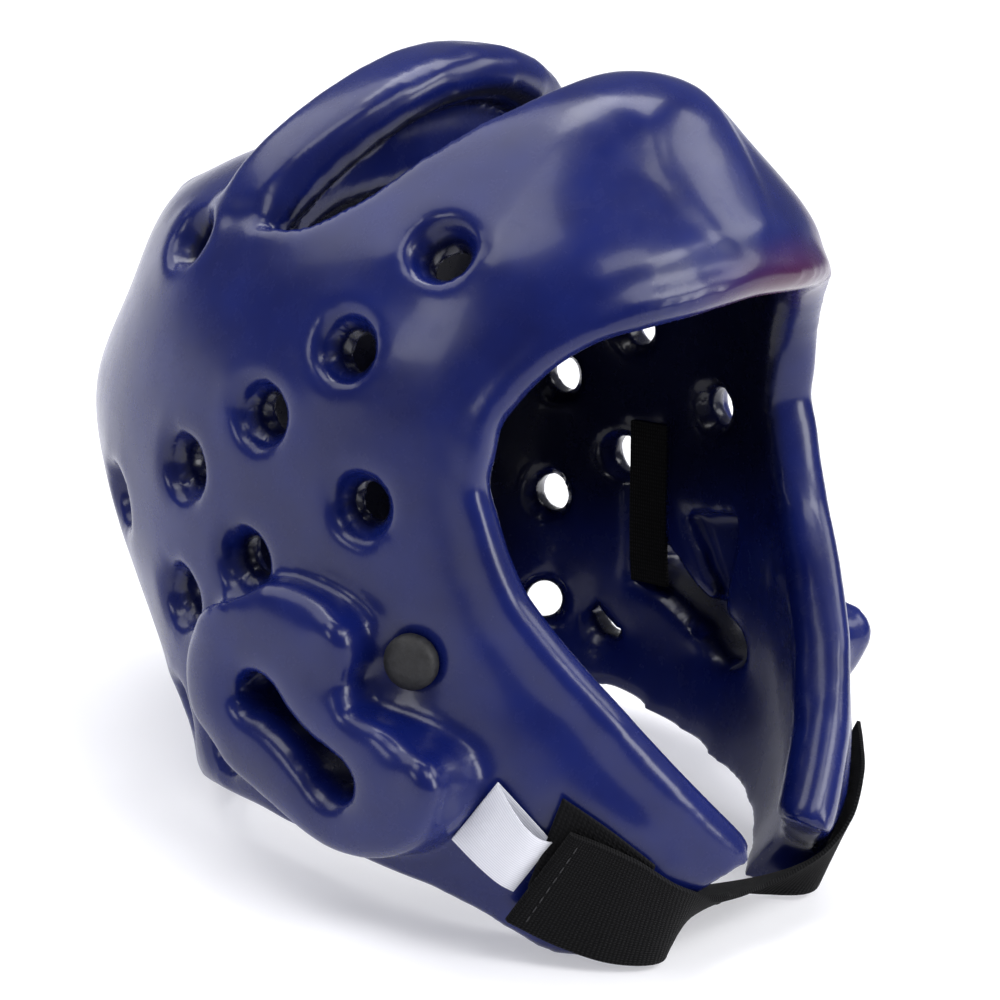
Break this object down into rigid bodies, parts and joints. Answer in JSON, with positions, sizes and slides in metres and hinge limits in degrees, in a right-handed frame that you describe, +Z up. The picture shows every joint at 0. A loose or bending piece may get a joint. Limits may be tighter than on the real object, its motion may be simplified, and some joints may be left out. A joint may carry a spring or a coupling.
{
  "type": "taekwondo headgear",
  "caption": "Soft dipped-foam head guard with an open face, crown arch, round vent holes, slotted ear rings and a black chin strap.",
  "frame": {"origin": "on the floor, under the middle of the guard's bounding box", "axes": "+Z up, the face opening looks along -Y, +X is the wearer's left"},
  "size_m": [0.202, 0.26, 0.2326],
  "materials": {
    "dipped_foam": "glossy navy vinyl dip over closed-cell foam",
    "webbing": "black woven hook-and-loop band",
    "label_satin": "white satin tape, bare",
    "plug": "dark mottled foam rubber"
  },
  "bodies": {
    "root": {"shell": "dipped_foam", "chin_strap": "webbing", "strap_tab": "webbing", "label": "label_satin", "ear_plug_right": "plug", "ear_plug_left": "plug", "ear_strip_right": "webbing", "ear_strip_left": "webbing"}
  },
  "joints": []
}
